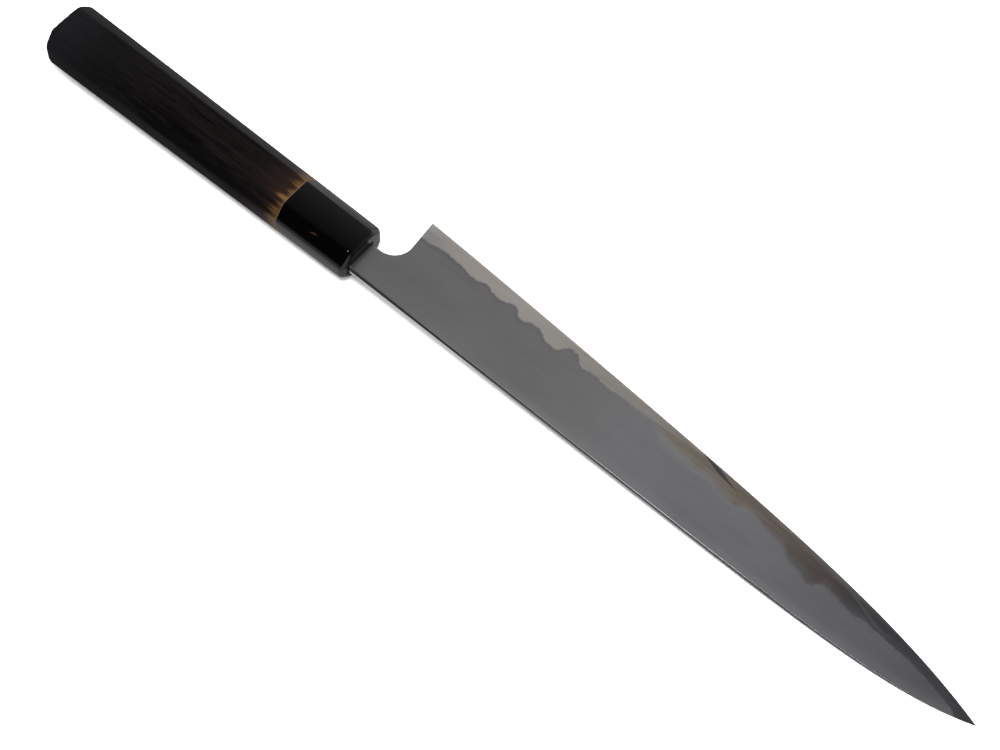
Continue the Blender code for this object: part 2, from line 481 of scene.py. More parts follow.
@dataclass(frozen=True)
class PolishedSteel(Finish):
    """Satin steel with a milky hamon, and polished sides.

    Its colour holds painted reflections, and a painted highlight along the spine. A trio of numbers holds
    at the neck, past the heel and on the thin part before the tip.
    """

    outline: Outline
    hamon: Points
    hamon_room: float = 12 * MM
    raggedness: float = 2.0 * MM
    haze: Span = span(0.50, 1.15)
    haze_grows: Span = span(110, 165)
    haze_shrinks: Span = span(215, 245)

    hairlines: Grain = Grain((14.0, 2600.0, 2600.0), 4.0, 0.7)
    clouds: Grain = Grain((30.0, 70.0, 70.0))
    wisps: Grain = Grain((420.0, 420.0, 420.0), 4.0)
    streaks: Grain = Grain((60.0, 900.0, 900.0))
    face_brushing: float = 0.12
    band_brushing: float = 0.14
    clouding: float = 0.14
    streaking: float = 0.30
    roughness: float = 0.30
    brush_roughness: float = 0.10
    band_polish: float = 0.08
    side_polish: float = 0.17
    brush_relief: float = 0.0012 * MM

    face_tone: Stops = (
        (0.00, (0.36, 0.36, 0.36)),
        (0.12, (0.38, 0.37, 0.37)),
        (0.30, (0.40, 0.39, 0.395)),
        (0.45, (0.43, 0.42, 0.44)),
        (0.65, (0.38, 0.375, 0.40)),
        (0.85, (0.285, 0.28, 0.305)),
        (0.94, (0.225, 0.22, 0.24)),
    )
    spine_sheen: Tint = Tint((0.8, 0.8, 0.8), 0.12, span(1.0, 5.0), span(15, 80))
    hamon_middle: float = 0.9 * MM
    hamon_shade: Tint = Tint((0.20, 0.20, 0.20), 0.2, span(0.0, 1.0), goes=span(75, 115))
    hamon_glow: Tint = Tint((0.62, 0.62, 0.66), 0.2, span(0.0, -2.5), span(110, 135), span(155, 190))

    tone_reach: float = 300 * MM
    # The band's own pale and tan tones, with painted reflection: light at the heel, dark blue-grey towards
    # the tip.
    pale_and_reflection_tone: Stops = (
        (0.03, (0.86, 0.83, 0.80)),
        (0.06, (0.78, 0.73, 0.695)),
        (0.10, (0.83, 0.78, 0.735)),
        (0.20, (0.845, 0.795, 0.745)),
        (0.28, (0.75, 0.70, 0.655)),
        (0.35, (0.68, 0.635, 0.58)),
        (0.42, (0.61, 0.56, 0.51)),
        (0.50, (0.58, 0.53, 0.475)),
    )
    tan_and_reflection_tone: Stops = (
        (0.42, (0.50, 0.455, 0.405)),
        (0.47, (0.475, 0.42, 0.355)),
        (0.51, (0.46, 0.39, 0.325)),
        (0.55, (0.395, 0.335, 0.28)),
        (0.60, (0.33, 0.275, 0.22)),
        (0.63, (0.295, 0.255, 0.213)),
        (0.655, (0.27, 0.225, 0.205)),
        (0.68, (0.23, 0.195, 0.18)),
        (0.71, (0.20, 0.17, 0.16)),
        (0.735, (0.15, 0.14, 0.145)),
        (0.80, (0.108, 0.114, 0.132)),
        (0.93, (0.105, 0.103, 0.114)),
    )
    tan_start: float = 158 * MM
    tan_lean: float = 9.0
    tan_turn: Span = span(-1.5, 1.5)
    tan_seam: Tint = Tint((0.33, 0.29, 0.26), 0.35, span(0.5, 3.0))
    edge_light: Tint = Tint(
        (0.10, 0.095, 0.096), 1.0, span(0.5, 3.0), span(160, 205), span(214, 236), left=0.3, how=Lay.ADD
    )
    heel_silver: Tint = Tint((0.55, 0.56, 0.58), 1.0, span(4.0, 2.0), goes=span(15, 24))
    mist: Tint = Tint(
        (0.57, 0.575, 0.61), 0.42, span(0.3, 3.6), span(85, 125), span(145, 172), left=0.286
    )
    cool_patch: Tint = Tint((0.24, 0.245, 0.26), 0.55, span(1.0, 5.5), span(191, 197), span(205, 211))
    # keen_edge is a painted dark reflection: a darker base colour in the cutting edge's bevel.
    keen_edge: Tint = Tint((0.24, 0.24, 0.25), 0.45, span(0.2, 0.6))

    glint_tone: Colour = (0.10, 0.13, 0.165)
    glint_share: float = 0.9
    glint_span: Span = span(143, 164.5)
    glint_depth: float = -0.60 * MM
    glint_fall: float = 3.6 * MM
    glint_width: float = 1.10 * MM
    glint_taper: float = 1.7
    glint_edge: Span = span(-0.45, 0.02)
    streak_start: float = 209 * MM
    streak_lean: float = 6.1
    tip_streak: Tint = Tint((0.25, 0.24, 0.23), 0.75, span(0.2, 4.5), span(216, 224), span(232, 240))

    far_span: Span = span(45, 95)
    thin_span: Span = span(130, 200)
    spine_strip: Span = span(2.2, 3.2)
    side_turn: Span = (0.60, 0.94)
    side_tones: tuple[Colour, Colour] = ((0.88, 0.88, 0.88), (0.42, 0.42, 0.43))
    # Painted highlight on the spine: a light base colour where its rounding would mirror the lamp.
    painted_highlight_tone: Colour = (0.80, 0.80, 0.82)
    painted_highlight_comes: Span = (0.84, 0.92)
    painted_highlight_goes: Span = (0.985, 0.998)
    painted_highlight_along: Span = span(10, 45)
    painted_highlight_shares: Sequence[float] = (0.60, 0.30, 0.0)
    # Painted dark reflection along the spine: a dark base colour where its rounding mirrors the dim
    # surroundings.
    dark_reflection_tones: tuple[Colour, Colour] = ((0.020, 0.015, 0.013), (0.07, 0.07, 0.074))
    dark_reflection_share: float = 0.97
    dark_reflection_starts: Sequence[float] = (0.06, 0.03, -0.07)
    dark_reflection_full: Sequence[float] = (0.11, 0.11, 0.02)
    dark_reflection_ends: Sequence[float] = (0.60, 0.72, 0.96)
    dark_reflection_gone: Sequence[float] = (0.78, 0.86, 0.995)

    def sockets(self, graph: Graph) -> Sockets:
        """What the Principled shader's sockets hold.

        Args:
            graph: The material's node tree.

        Returns:
            Each socket's name with its number, colour or link.
        """
        place = graph.place(self.origin)
        x, y, _ = graph.parts(place)
        depth = self.outline.edge(x) - y
        gap = y - self.outline.spine(x)
        hairlines = graph.grain(place, self.hairlines)
        height = graph.curve(x / self.outline.tip.x, self.hamon) * self.hamon_room
        inside = height + (graph.grain(place, self.wisps) - 0.5) * self.raggedness - depth
        hazy = graph.rise(x, *self.haze_grows) * graph.fall(x, *self.haze_shrinks)
        soft = hazy * (self.haze[1] - self.haze[0]) + self.haze[0]
        band = graph.rise(inside, soft * -1.0, soft)
        tone = graph.blend(band, self.face(graph, x, gap, inside), self.band(graph, place, depth, inside))
        brushing = band * self.band_brushing + self.face_brushing
        tone = graph.blend(brushing, tone, graph.grey(hairlines), Lay.OVERLAY)
        tone = graph.blend(self.clouding, tone, graph.grey(graph.grain(place, self.clouds)), Lay.OVERLAY)
        flat = graph.flatness()
        side = graph.fall(flat, *self.side_turn)
        polish = band * self.band_polish + side * self.side_polish
        return {
            "Base Color": self.spine(graph, x, gap, flat, tone),
            "Metallic": 1.0,
            "Roughness": (hairlines - 0.5) * self.brush_roughness + self.roughness - polish,
            "Normal": graph.bump(hairlines, self.brush_relief),
        }

    def face(self, graph: Graph, x: Value, gap: Value, inside: Value) -> Value:
        """The colour of the body steel, lighter along the spine and changing beside the hamon.

        Args:
            graph: The material's node tree.
            x: The place along the blade.
            gap: How far the place is from the spine.
            inside: How far it is inside the hardened band, below 0 outside it.

        Returns:
            The colour.
        """
        tone = graph.ramp(x / self.outline.tip.x, self.face_tone)
        tone = self.spine_sheen.over(tone, gap, x)
        tone = self.hamon_shade.over(tone, abs(inside + self.hamon_middle), x)
        return self.hamon_glow.over(tone, inside, x)

    def band(self, graph: Graph, place: Value, depth: Value, inside: Value) -> Value:
        """The colour of the hardened band, with painted reflections of what its polish mirrors.

        Args:
            graph: The material's node tree.
            place: The place on the knife's own axes.
            depth: How far it is from the cutting edge.
            inside: How far it is inside the band.

        Returns:
            The colour.
        """
        x, _, _ = graph.parts(place)
        streaks = graph.grain(place, self.streaks)
        # Pale and tan steel, with painted reflection that darkens the band towards the tip.
        tones = (graph.ramp(x / self.tone_reach, stops) for stops in (self.pale_and_reflection_tone, self.tan_and_reflection_tone))
        turned = x + depth * self.tan_lean - self.tan_start
        tone = graph.blend(graph.rise(turned, *self.tan_turn), *tones)
        tone = self.tan_seam.over(tone, abs(turned), x)
        tone = self.edge_light.over(tone, depth, x)
        tone = graph.blend(self.streaking, tone, graph.grey(streaks), Lay.OVERLAY)
        tone = self.heel_silver.over(tone, depth, x, streaks)
        tone = self.mist.over(tone, inside, x)
        tone = self.cool_patch.over(tone, inside, x)
        tone = graph.blend(self.glint(graph, x, depth) * self.glint_share, tone, self.glint_tone)
        tone = self.tip_streak.over(tone, abs(x - depth * self.streak_lean - self.streak_start), x)
        # Painted dark reflection in the cutting edge's bevel.
        return self.keen_edge.over(tone, depth, x, streaks)

    def glint(self, graph: Graph, x: Value, depth: Value) -> Value:
        """A narrow dark patch in the band, where the polish turns away from the light.

        Args:
            graph: The material's node tree.
            x: The place along the blade.
            depth: How far it is from the cutting edge.

        Returns:
            How much the patch shows, from 0 to 1.
        """
        start, end = self.glint_span
        inner, outer = self.glint_edge
        share = (x - start) * (1 / (end - start))
        middle = share * self.glint_fall + self.glint_depth
        width = held(1.0 - abs(share * self.glint_taper - 1.0)) * self.glint_width
        return graph.fall(abs(depth - middle), width + inner, width + outer)

    def spine(self, graph: Graph, x: Value, gap: Value, flat: Value, tone: Value) -> Value:
        """Add the spine's polished side, the painted dark reflection along it and the painted highlight
        between it and the face.

        Args:
            graph: The material's node tree.
            x: The place along the blade.
            gap: How far the place is from the spine.
            flat: 1 on the faces and 0 on the spine's back.
            tone: The colour of the faces.

        Returns:
            The colour of faces and spine.
        """
        far = graph.rise(x, *self.far_span)
        thin = graph.rise(x, *self.thin_span)
        # Each trio gives the painted highlight's share and the painted dark reflection's limits.
        trios = (self.painted_highlight_shares, self.dark_reflection_starts, self.dark_reflection_full, self.dark_reflection_ends, self.dark_reflection_gone)
        share, starts, full, ends, gone = (
            far * (middle - neck) + thin * (last - middle) + neck for neck, middle, last in trios
        )
        strip = graph.fall(gap, *self.spine_strip)
        # Painted highlight: a light base colour on the rounding between the spine's back and the face.
        painted_highlight = held(graph.rise(flat, *self.painted_highlight_comes) - graph.rise(flat, *self.painted_highlight_goes))
        painted_highlight = painted_highlight * graph.rise(x, *self.painted_highlight_along) * strip * share
        # line is a painted dark reflection: a dark base colour along the spine's rounding.
        line = held(graph.rise(flat, starts, full) - graph.rise(flat, ends, gone)) * strip * self.dark_reflection_share
        tone = graph.blend(painted_highlight, tone, self.painted_highlight_tone)
        side = graph.fall(flat, *self.side_turn)
        tone = graph.blend(side, tone, graph.blend(far, *self.side_tones))
        return graph.blend(line, tone, graph.blend(far, *self.dark_reflection_tones))


@dataclass(frozen=True)
class PolishedHorn(Finish):
    """Black buffalo horn with faint lengthwise streaks and one pale fleck."""

    streaks: Grain = Grain((25.0, 900.0, 900.0), 5.0, 0.65)
    tone: Stops = ((0.35, (0.0005, 0.0005, 0.0008)), (0.75, (0.0016, 0.0012, 0.0012)))
    roughness: float = 0.05
    streak_roughness: float = 0.05
    relief: float = 0.002 * MM
    fleck: Span = span(-17.0, -8.0)
    fleck_size: Span = span(2.4, 0.34)
    fleck_slant: float = -0.10
    fleck_grain: Grain = Grain((1300.0, 2600.0, 2600.0))
    fleck_raggedness: float = 3.2
    fleck_edge: Span = (1.3, 2.1)
    fleck_above: Span = span(0.0, 1.0)
    fleck_tone: Colour = (0.14, 0.070, 0.042)
    fleck_share: float = 0.8
    specular: float = 0.35

    def sockets(self, graph: Graph) -> Sockets:
        """What the Principled shader's sockets hold.

        Args:
            graph: The material's node tree.

        Returns:
            Each socket's name with its number, colour or link.
        """
        place = graph.place(self.origin)
        x, y, z = graph.parts(place)
        streaks = graph.grain(place, self.streaks)
        ahead = x - self.fleck[0]
        along = ahead / self.fleck_size[0]
        across = (y - self.fleck[1] + ahead * self.fleck_slant) / self.fleck_size[1]
        ragged = graph.grain(place, self.fleck_grain) * self.fleck_raggedness
        fleck = graph.fall(along * along + across * across + ragged, *self.fleck_edge)
        fleck = fleck * graph.rise(z, *self.fleck_above) * self.fleck_share
        return {
            "Base Color": graph.blend(fleck, graph.ramp(streaks, self.tone), self.fleck_tone),
            "Roughness": streaks * self.streak_roughness + self.roughness,
            "Specular IOR Level": self.specular,
            "Normal": graph.bump(streaks, self.relief),
        }


@dataclass(frozen=True)
class BurntWood(Finish):
    """Charred and brushed wood that is left pale beside the ferrule.

    The tongues are how far the pale wood reaches back, in millimetres, at places across the top.
    """

    joint: float
    girth: float = 25 * MM
    reach: float = 6 * MM
    tongues: Points = (
        (-12.5, 3.2), (-11.0, 2.0), (-9.4, 3.6), (-8.4, 2.4), (-7.3, 2.2), (-6.4, 0.0), (-5.9, 0.2),
        (-4.8, 4.0), (-3.6, 1.2), (-2.4, 0.8), (-0.9, 1.8), (0.8, 0.0), (1.8, 1.4), (3.0, 2.3),
        (4.4, 2.2), (5.6, 1.0), (6.8, 2.2), (12.5, 2.6),
    )  # fmt: skip
    streak_raggedness: float = 4.0 * MM
    fibre_raggedness: float = 13.0 * MM

    lines: Grain = Grain((64.0, 1900.0, 1900.0), 6.0, 0.75)
    streaks: Grain = Grain((60.0, 1500.0, 1500.0), 3.0, 0.6)
    fibres: Grain = Grain((45.0, 3400.0, 3400.0), 4.0, 0.7)
    broad: Grain = Grain((26.0, 340.0, 340.0), 5.0, 0.7)
    blots: Grain = Grain((50.0, 300.0, 300.0), 4.0)
    roughness: float = 0.40
    line_roughness: float = 0.16
    soot_roughness: float = 0.22
    relief: float = 0.03 * MM
    specular: float = 0.06

    edge_side: Span = span(6.2, 7.4)
    spine_side: Span = span(-6.2, -7.8)
    back_side: Span = span(-10.9, -11.4)
    bare_edge: Span = span(-1.9, 1.5)
    bare_side_haze: float = 2.4 * MM
    bare_tone: Stops = (
        (0.36, (0.050, 0.021, 0.007)),
        (0.50, (0.175, 0.085, 0.030)),
        (0.63, (0.33, 0.180, 0.076)),
    )
    bare_lines: float = 0.4
    bare_fibres: float = 0.6
    bare_on_sides: Colour = (0.150, 0.098, 0.070)
    bare_sides_share: float = 0.85
    bare_by_spine: Colour = (0.034, 0.016, 0.007)
    bare_spine_share: float = 0.5
    scorch: Tint = Tint((0.042, 0.020, 0.012), 0.7, span(-0.5, 6.5))
    scorched_lines: Span = (0.38, 0.60)
    joint_line: Tint = Tint((0.24, 0.16, 0.095), 0.6, span(0.12, 0.45))

    char_tone: Stops = (
        (0.36, (0.0014, 0.0012, 0.0013)),
        (0.45, (0.0043, 0.0035, 0.0037)),
        (0.52, (0.0086, 0.0067, 0.0065)),
        (0.59, (0.0147, 0.0105, 0.0092)),
        (0.70, (0.0320, 0.0180, 0.0125)),
    )
    char_shares: Sequence[float] = (0.50, 0.28, 0.42)
    char_shift: float = 0.10
    black_tone: Colour = (0.0018, 0.0014, 0.0018)
    black_share: float = 0.85
    black_towards: Span = span(-0.5, -8.0)
    black_blots: Span = (0.34, 0.56)
    # Towards the butt the char turns a lighter bluish grey: soot, and a painted sheen for what the charcoal
    # mirrors.
    soot_and_sheen_tone: Stops = ((0.35, (0.0050, 0.0050, 0.0060)), (0.65, (0.0100, 0.0098, 0.0112)))
    soot_and_sheen_share: float = 0.8
    soot_and_sheen_from: Span = span(62, 112)
    butt_dust_and_sheen: Tint = Tint((0.0055, 0.0055, 0.0065), 1.0, span(118, 96), how=Lay.ADD)
    warm_tone: Colour = (0.016, 0.0085, 0.0060)
    warm_reach: Span = span(0.0, 28)
    warm_power: float = 2.0
    cool_by_spine: float = 0.75
    # A painted sheen: a lighter base colour on the edge's side, where the facet mirrors the floor.
    edge_side_painted_sheen: Colour = (0.012, 0.012, 0.012)

    def sockets(self, graph: Graph) -> Sockets:
        """What the Principled shader's sockets hold.

        Args:
            graph: The material's node tree.

        Returns:
            Each socket's name with its number, colour or link.
        """
        place = graph.place(self.origin)
        x, y, _ = graph.parts(place)
        behind = self.joint - x
        grains = (self.lines, self.streaks, self.fibres)
        lines, streaks, fibres = (graph.grain(place, grain) for grain in grains)
        points = [(y_mm * MM / self.girth + 0.5, mm * MM / self.reach) for y_mm, mm in self.tongues]
        reach = graph.curve(y / self.girth + 0.5, points) * self.reach
        reach = reach + (streaks - 0.5) * self.streak_raggedness + (fibres - 0.5) * self.fibre_raggedness
        beyond = behind - reach
        edge_side = graph.rise(y, *self.edge_side)
        back_side = graph.rise(y, *self.back_side)
        spine_side = graph.rise(y, *self.spine_side) - back_side
        sides = edge_side + back_side
        # The butt's soot, with a painted sheen: lighter, bluish char.
        soot_and_sheen = graph.rise(behind, *self.soot_and_sheen_from)
        tone = self.butt_dust_and_sheen.over(self.char(graph, place, lines, fibres, soot_and_sheen), behind, behind)
        warmth = graph.fall(behind, *self.warm_reach) ** self.warm_power
        tone = graph.blend(warmth * (1.0 - spine_side * self.cool_by_spine), tone, self.warm_tone, Lay.ADD)
        tone = self.scorch.over(tone, beyond, behind, graph.rise(lines, *self.scorched_lines))
        # Painted sheen on the edge's side, where the facet mirrors the floor.
        tone = graph.blend(edge_side * (fibres + 0.5), tone, self.edge_side_painted_sheen, Lay.ADD)
        pale = graph.ramp(lines * self.bare_lines + fibres * self.bare_fibres, self.bare_tone)
        pale = graph.blend(sides * self.bare_sides_share, pale, self.bare_on_sides)
        pale = graph.blend(spine_side * self.bare_spine_share, pale, self.bare_by_spine)
        start, end = self.bare_edge
        tone = graph.blend(graph.fall(beyond, start, sides * self.bare_side_haze + end), tone, pale)
        return {
            "Base Color": self.joint_line.over(tone, behind, behind),
            "Roughness": lines * self.line_roughness + soot_and_sheen * self.soot_roughness + self.roughness,
            "Specular IOR Level": self.specular,
            "Normal": graph.bump(lines, self.relief),
        }

    def char(self, graph: Graph, place: Value, lines: Value, fibres: Value, soot_and_sheen: Value) -> Value:
        """The colour of the burnt wood: brown streaks on black, blacker below, with soot and a painted
        sheen towards the butt.

        Args:
            graph: The material's node tree.
            place: The place on the knife's own axes.
            lines: The grain's long lines.
            fibres: Its fine fibres.
            soot_and_sheen: How much of the butt's soot and painted sheen the place has, from 0 to 1.

        Returns:
            The colour.
        """
        _, y, _ = graph.parts(place)
        by_line, by_breadth, by_fibre = self.char_shares
        broad = graph.grain(place, self.broad)
        char = lines * by_line + broad * by_breadth + fibres * by_fibre - self.char_shift
        blots = graph.rise(graph.grain(place, self.blots), *self.black_blots)
        black = graph.rise(y, *self.black_towards) * blots
        tone = graph.blend(black * self.black_share, graph.ramp(char, self.char_tone), self.black_tone)
        return graph.blend(soot_and_sheen * self.soot_and_sheen_share, tone, graph.ramp(lines, self.soot_and_sheen_tone))


@dataclass(frozen=True)
class PlainWood(Finish):
    """The pale, unfinished wood of the dowel."""

    lines: Grain = Grain((20.0, 900.0, 900.0), 4.0)
    tone: Stops = ((0.3, (0.36, 0.21, 0.10)), (0.7, (0.60, 0.43, 0.26)))
    roughness: float = 0.50
    line_roughness: float = 0.20
    relief: float = 0.03 * MM

    def sockets(self, graph: Graph) -> Sockets:
        """What the Principled shader's sockets hold.

        Args:
            graph: The material's node tree.

        Returns:
            Each socket's name with its number, colour or link.
        """
        lines = graph.grain(graph.place(self.origin), self.lines)
        return {
            "Base Color": graph.ramp(lines, self.tone),
            "Roughness": lines * self.line_roughness + self.roughness,
            "Normal": graph.bump(lines, self.relief),
        }


@dataclass(frozen=True)
class CuredResin(Finish):
    """A poured resin, with a little cloudiness and soft pits."""

    tone: Stops
    roughness: float
    clouds: Grain = Grain((500.0, 500.0, 500.0), 4.0)
    cloud_roughness: float = 0.15
    relief: float = 0.02 * MM
    specular: float = 0.25

    def sockets(self, graph: Graph) -> Sockets:
        """What the Principled shader's sockets hold.

        Args:
            graph: The material's node tree.

        Returns:
            Each socket's name with its number, colour or link.
        """
        clouds = graph.grain(graph.place(self.origin), self.clouds)
        return {
            "Base Color": graph.ramp(clouds, self.tone),
            "Roughness": clouds * self.cloud_roughness + self.roughness,
            "Specular IOR Level": self.specular,
            "Normal": graph.bump(clouds, self.relief),
        }


# Shapes


class Sweep:
    """A skin that grows ring by ring: each step extrudes the open edge loop and moves it on."""

    def __init__(self, first: Ring) -> None:
        """Start a skin.

        Args:
            first: The first ring's points. Each later ring has as many.
        """
        self.mesh = bmesh.new()
        self.lane = self.mesh.verts.layers.int.new("lane")
        self.ring = self.mesh.verts.layers.int.new("ring")
        self.count = 0
        made = bmesh.ops.create_circle(self.mesh, cap_ends=False, segments=len(first), radius=1.0)
        for index, vert in enumerate(made["verts"]):
            vert[self.lane] = index
            vert.co = first[index]
        self.last = list(self.mesh.edges)

    def on(self, *rings: Ring) -> Sweep:
        """Extrude the open loop onto each of some rings in turn.

        Args:
            rings: The rings, each with as many points as the first.

        Returns:
            The skin itself.
        """
        for ring in rings:
            self.count += 1
            grown = bmesh.ops.extrude_edge_only(self.mesh, edges=self.last)["geom"]
            fresh = {item for item in grown if isinstance(item, bmesh.types.BMVert)}
            for vert in fresh:
                vert[self.ring] = self.count
                vert.co = ring[vert[self.lane]]
            edges = (item for item in grown if isinstance(item, bmesh.types.BMEdge))
            self.last = [edge for edge in edges if fresh.issuperset(edge.verts)]
        return self

    def cap(self) -> Sweep:
        """Fill the open loop."""
        bmesh.ops.contextual_create(self.mesh, geom=self.last)
        return self

    def cap_start(self) -> Sweep:
        """Fill the first ring before anything grows from it."""
        self.cap().last = list(self.mesh.edges)
        return self


@dataclass(frozen=True)
class Bar:
    """The tapered octagonal bar that the ferrule and the grip are planed to together."""

    length: float
    butt_height: float
    butt_width: float
    front_height: float
    front_width: float
    ferrule_length: float
    facet_leg: float = 5.0 * MM
    side_crown: float = 0.15 * MM
    top_crown: float = 0.40 * MM
    crown_power: int = 4
    near_drop: float = 1.2 * MM
    nose_ease: float = 2.6 * MM
    nose_run: float = 6 * MM
    horn_ease: float = 1.1 * MM
    wood_ease: float = 1.7 * MM
    wood_run: float = 12 * MM
    butt_ease: float = 3.4 * MM
    butt_run: float = 9 * MM
    bend_steps: int = 7
    facet_steps: int = 25

    def half_width(self, x: float) -> float:
        """Half of the bar's width at a place, along the z axis."""
        return mix(self.front_width, self.butt_width, -x / self.length) / 2

    def corners(self, x: float, inset: float) -> list[Vector]:
        """The eight corners of the section.

        Args:
            x: The place along the bar.
            inset: How far the section is drawn in on all sides.

        Returns:
            The corners, from the upper one on the edge's side.
        """
        y = mix(self.front_height, self.butt_height, -x / self.length) / 2 - inset
        z = self.half_width(x) - inset
        leg = self.facet_leg - inset * (2 - math.sqrt(2))
        upper = [(y, z - leg), (y - leg, z), (leg - y, z), (-y, z - leg - self.near_drop)]
        lower = [(-y, leg - z), (leg - y, -z), (y - leg, -z), (y, leg - z)]
        return [Vector((x, across, high)) for across, high in upper + lower]

    def behind(self, x: float) -> float:
        """0 on the ferrule, and 1 on the wood beyond a stretch behind the joint."""
        return held((-self.ferrule_length - x) / self.wood_run)

    def crown(self, x: float, upright: float) -> float:
        """How far a facet bulges. Upright is 1 for a level facet and 0 for one on its side."""
        top = mix(self.top_crown, self.side_crown, self.behind(x))
        return mix(self.side_crown, top, upright**self.crown_power)

    def ease(self, x: float) -> float:
        """How round the lengthwise corners are: crisp on the horn, softer on the wood and most at the butt.

        Args:
            x: The place along the bar.

        Returns:
            The rounding's radius.
        """
        near_butt = held(1 - (x + self.length) / self.butt_run) ** 2
        near_nose = held(1 + x / self.nose_run) ** 2
        horn = mix(self.horn_ease, self.nose_ease, near_nose)
        return mix(mix(horn, self.wood_ease, self.behind(x)), self.butt_ease, near_butt)

    def ring(self, x: float, inset: float = 0.0) -> list[Vector]:
        """The section's points: slightly crowned facets with rounded corners between them.

        Args:
            x: The place along the bar.
            inset: How far the section is drawn in.

        Returns:
            The points, as many at every place.
        """
        corners = self.corners(x, inset)
        cut = self.ease(x) * math.tan(math.pi / 8)
        sides = list(zip(corners, corners[1:] + corners[:1]))
        inner = shares(self.facet_steps)[1:-1]
        points = []
        for side, before in zip(sides, sides[-1:] + sides[:-1]):
            corner, after = side
            share = cut / (after - corner).length
            start = self.on_facet(*before, 1 - cut / (before[1] - before[0]).length)
            end = self.on_facet(*side, share)
            points += [start.lerp(corner, s).lerp(corner.lerp(end, s), s) for s in shares(self.bend_steps)]
            points += [self.on_facet(*side, mix(share, 1 - share, s)) for s in inner]
        return points

    def on_facet(self, first: Vector, last: Vector, share: float) -> Vector:
        """A point on a crowned facet.

        Args:
            first: The corner where the facet starts.
            last: The corner where it ends.
            share: How far over it the point lies.

        Returns:
            The point.
        """
        along = last - first
        outward = Vector((0.0, along.z, -along.y)).normalized()
        bulge = self.crown(first.x, abs(outward.z))
        return first.lerp(last, share) + outward * (bulge * 4 * share * (1 - share))

    def rays(self) -> list[Vector]:
        """The directions from the axis to the section's points, for rings inside the handle."""
        return [Vector((0.0, point.y, point.z)).normalized() for point in self.ring(0.0)]

    def circle(self, x: float, radius: float) -> list[Vector]:
        """A round ring, on the section's rays."""
        return [Vector((x, 0.0, 0.0)) + ray * radius for ray in self.rays()]

    def slot(self, x: float, low: float, high: float, half_width: float) -> list[Vector]:
        """A rectangular ring round the axis, on the section's rays.

        Args:
            x: The place along the bar.
            low: The rectangle's lowest y, below 0.
            high: Its highest y.
            half_width: Half of its width along the z axis.

        Returns:
            The points.
        """
        points = []
        for ray in self.rays():
            across = (high if ray.y > 0 else -low) / max(abs(ray.y), TINY)
            reach = min(across, half_width / max(abs(ray.z), TINY))
            points.append(Vector((x, 0.0, 0.0)) + ray * reach)
        return points


def rounded(x: float, radius: float, outward: int, steps: int) -> list[tuple[float, float]]:
    """The places and insets that round an end of a bar, from its full section to its end face."""
    turns = (math.pi / 2 * share for share in shares(steps))
    return [(x - outward * radius * (1 - math.sin(a)), radius * (1 - math.cos(a))) for a in turns]


@dataclass
class Maker:
    """What every sub-assembly needs to put its pieces into the scene."""

    origin: Vector
    sharp_angle: float = math.radians(30.0)
    weld: float = 0.001 * MM

    def piece(
        self,
        name: str,
        mesh: bmesh.types.BMesh,
        finish: Finish,
        slot: Slot,
        stands_for: Node,
    ) -> None:
        """Make a piece that rides with the knife in place of a plain solid.

        Args:
            name: The piece's name.
            mesh: Its mesh, on the knife's own axes. It is freed.
            finish: Its finish.
            slot: The record's slot that its finish belongs to. It is not used.
            stands_for: The solid that it replaces.
        """
        bmesh.ops.remove_doubles(mesh, verts=mesh.verts, dist=self.weld)
        bmesh.ops.recalc_face_normals(mesh, faces=mesh.faces)
        for face in mesh.faces:
            face.smooth = True
        for edge in mesh.edges:
            edge.smooth = len(edge.link_faces) != 2 or edge.calc_face_angle() <= self.sharp_angle
        bmesh.ops.translate(mesh, verts=mesh.verts, vec=self.origin)
        for layer in list(mesh.verts.layers.int.values()):
            mesh.verts.layers.int.remove(layer)
        data = bpy.data.meshes.new(name)
        mesh.to_mesh(data)
        mesh.free()
        made = bpy.data.objects.new(name, data)
        bpy.context.scene.collection.objects.link(made)
        data.materials.append(finish.material(name + "_finish"))
        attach(made, BODY)
        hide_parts(stands_for.value)
        LOG.info("%s: %d faces, in place of %s", name, len(data.polygons), stands_for.value)

    def dress(self, node: Node, finish: Finish) -> None:
        """Put a finish on a solid that stays as it is.

        Args:
            node: The solid.
            finish: Its finish.
        """
        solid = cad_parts[node.value]
        solid.data.materials.clear()
        solid.data.materials.append(finish.material(node.value + "_finish"))
        LOG.info("%s: kept, with its own finish", node.value)


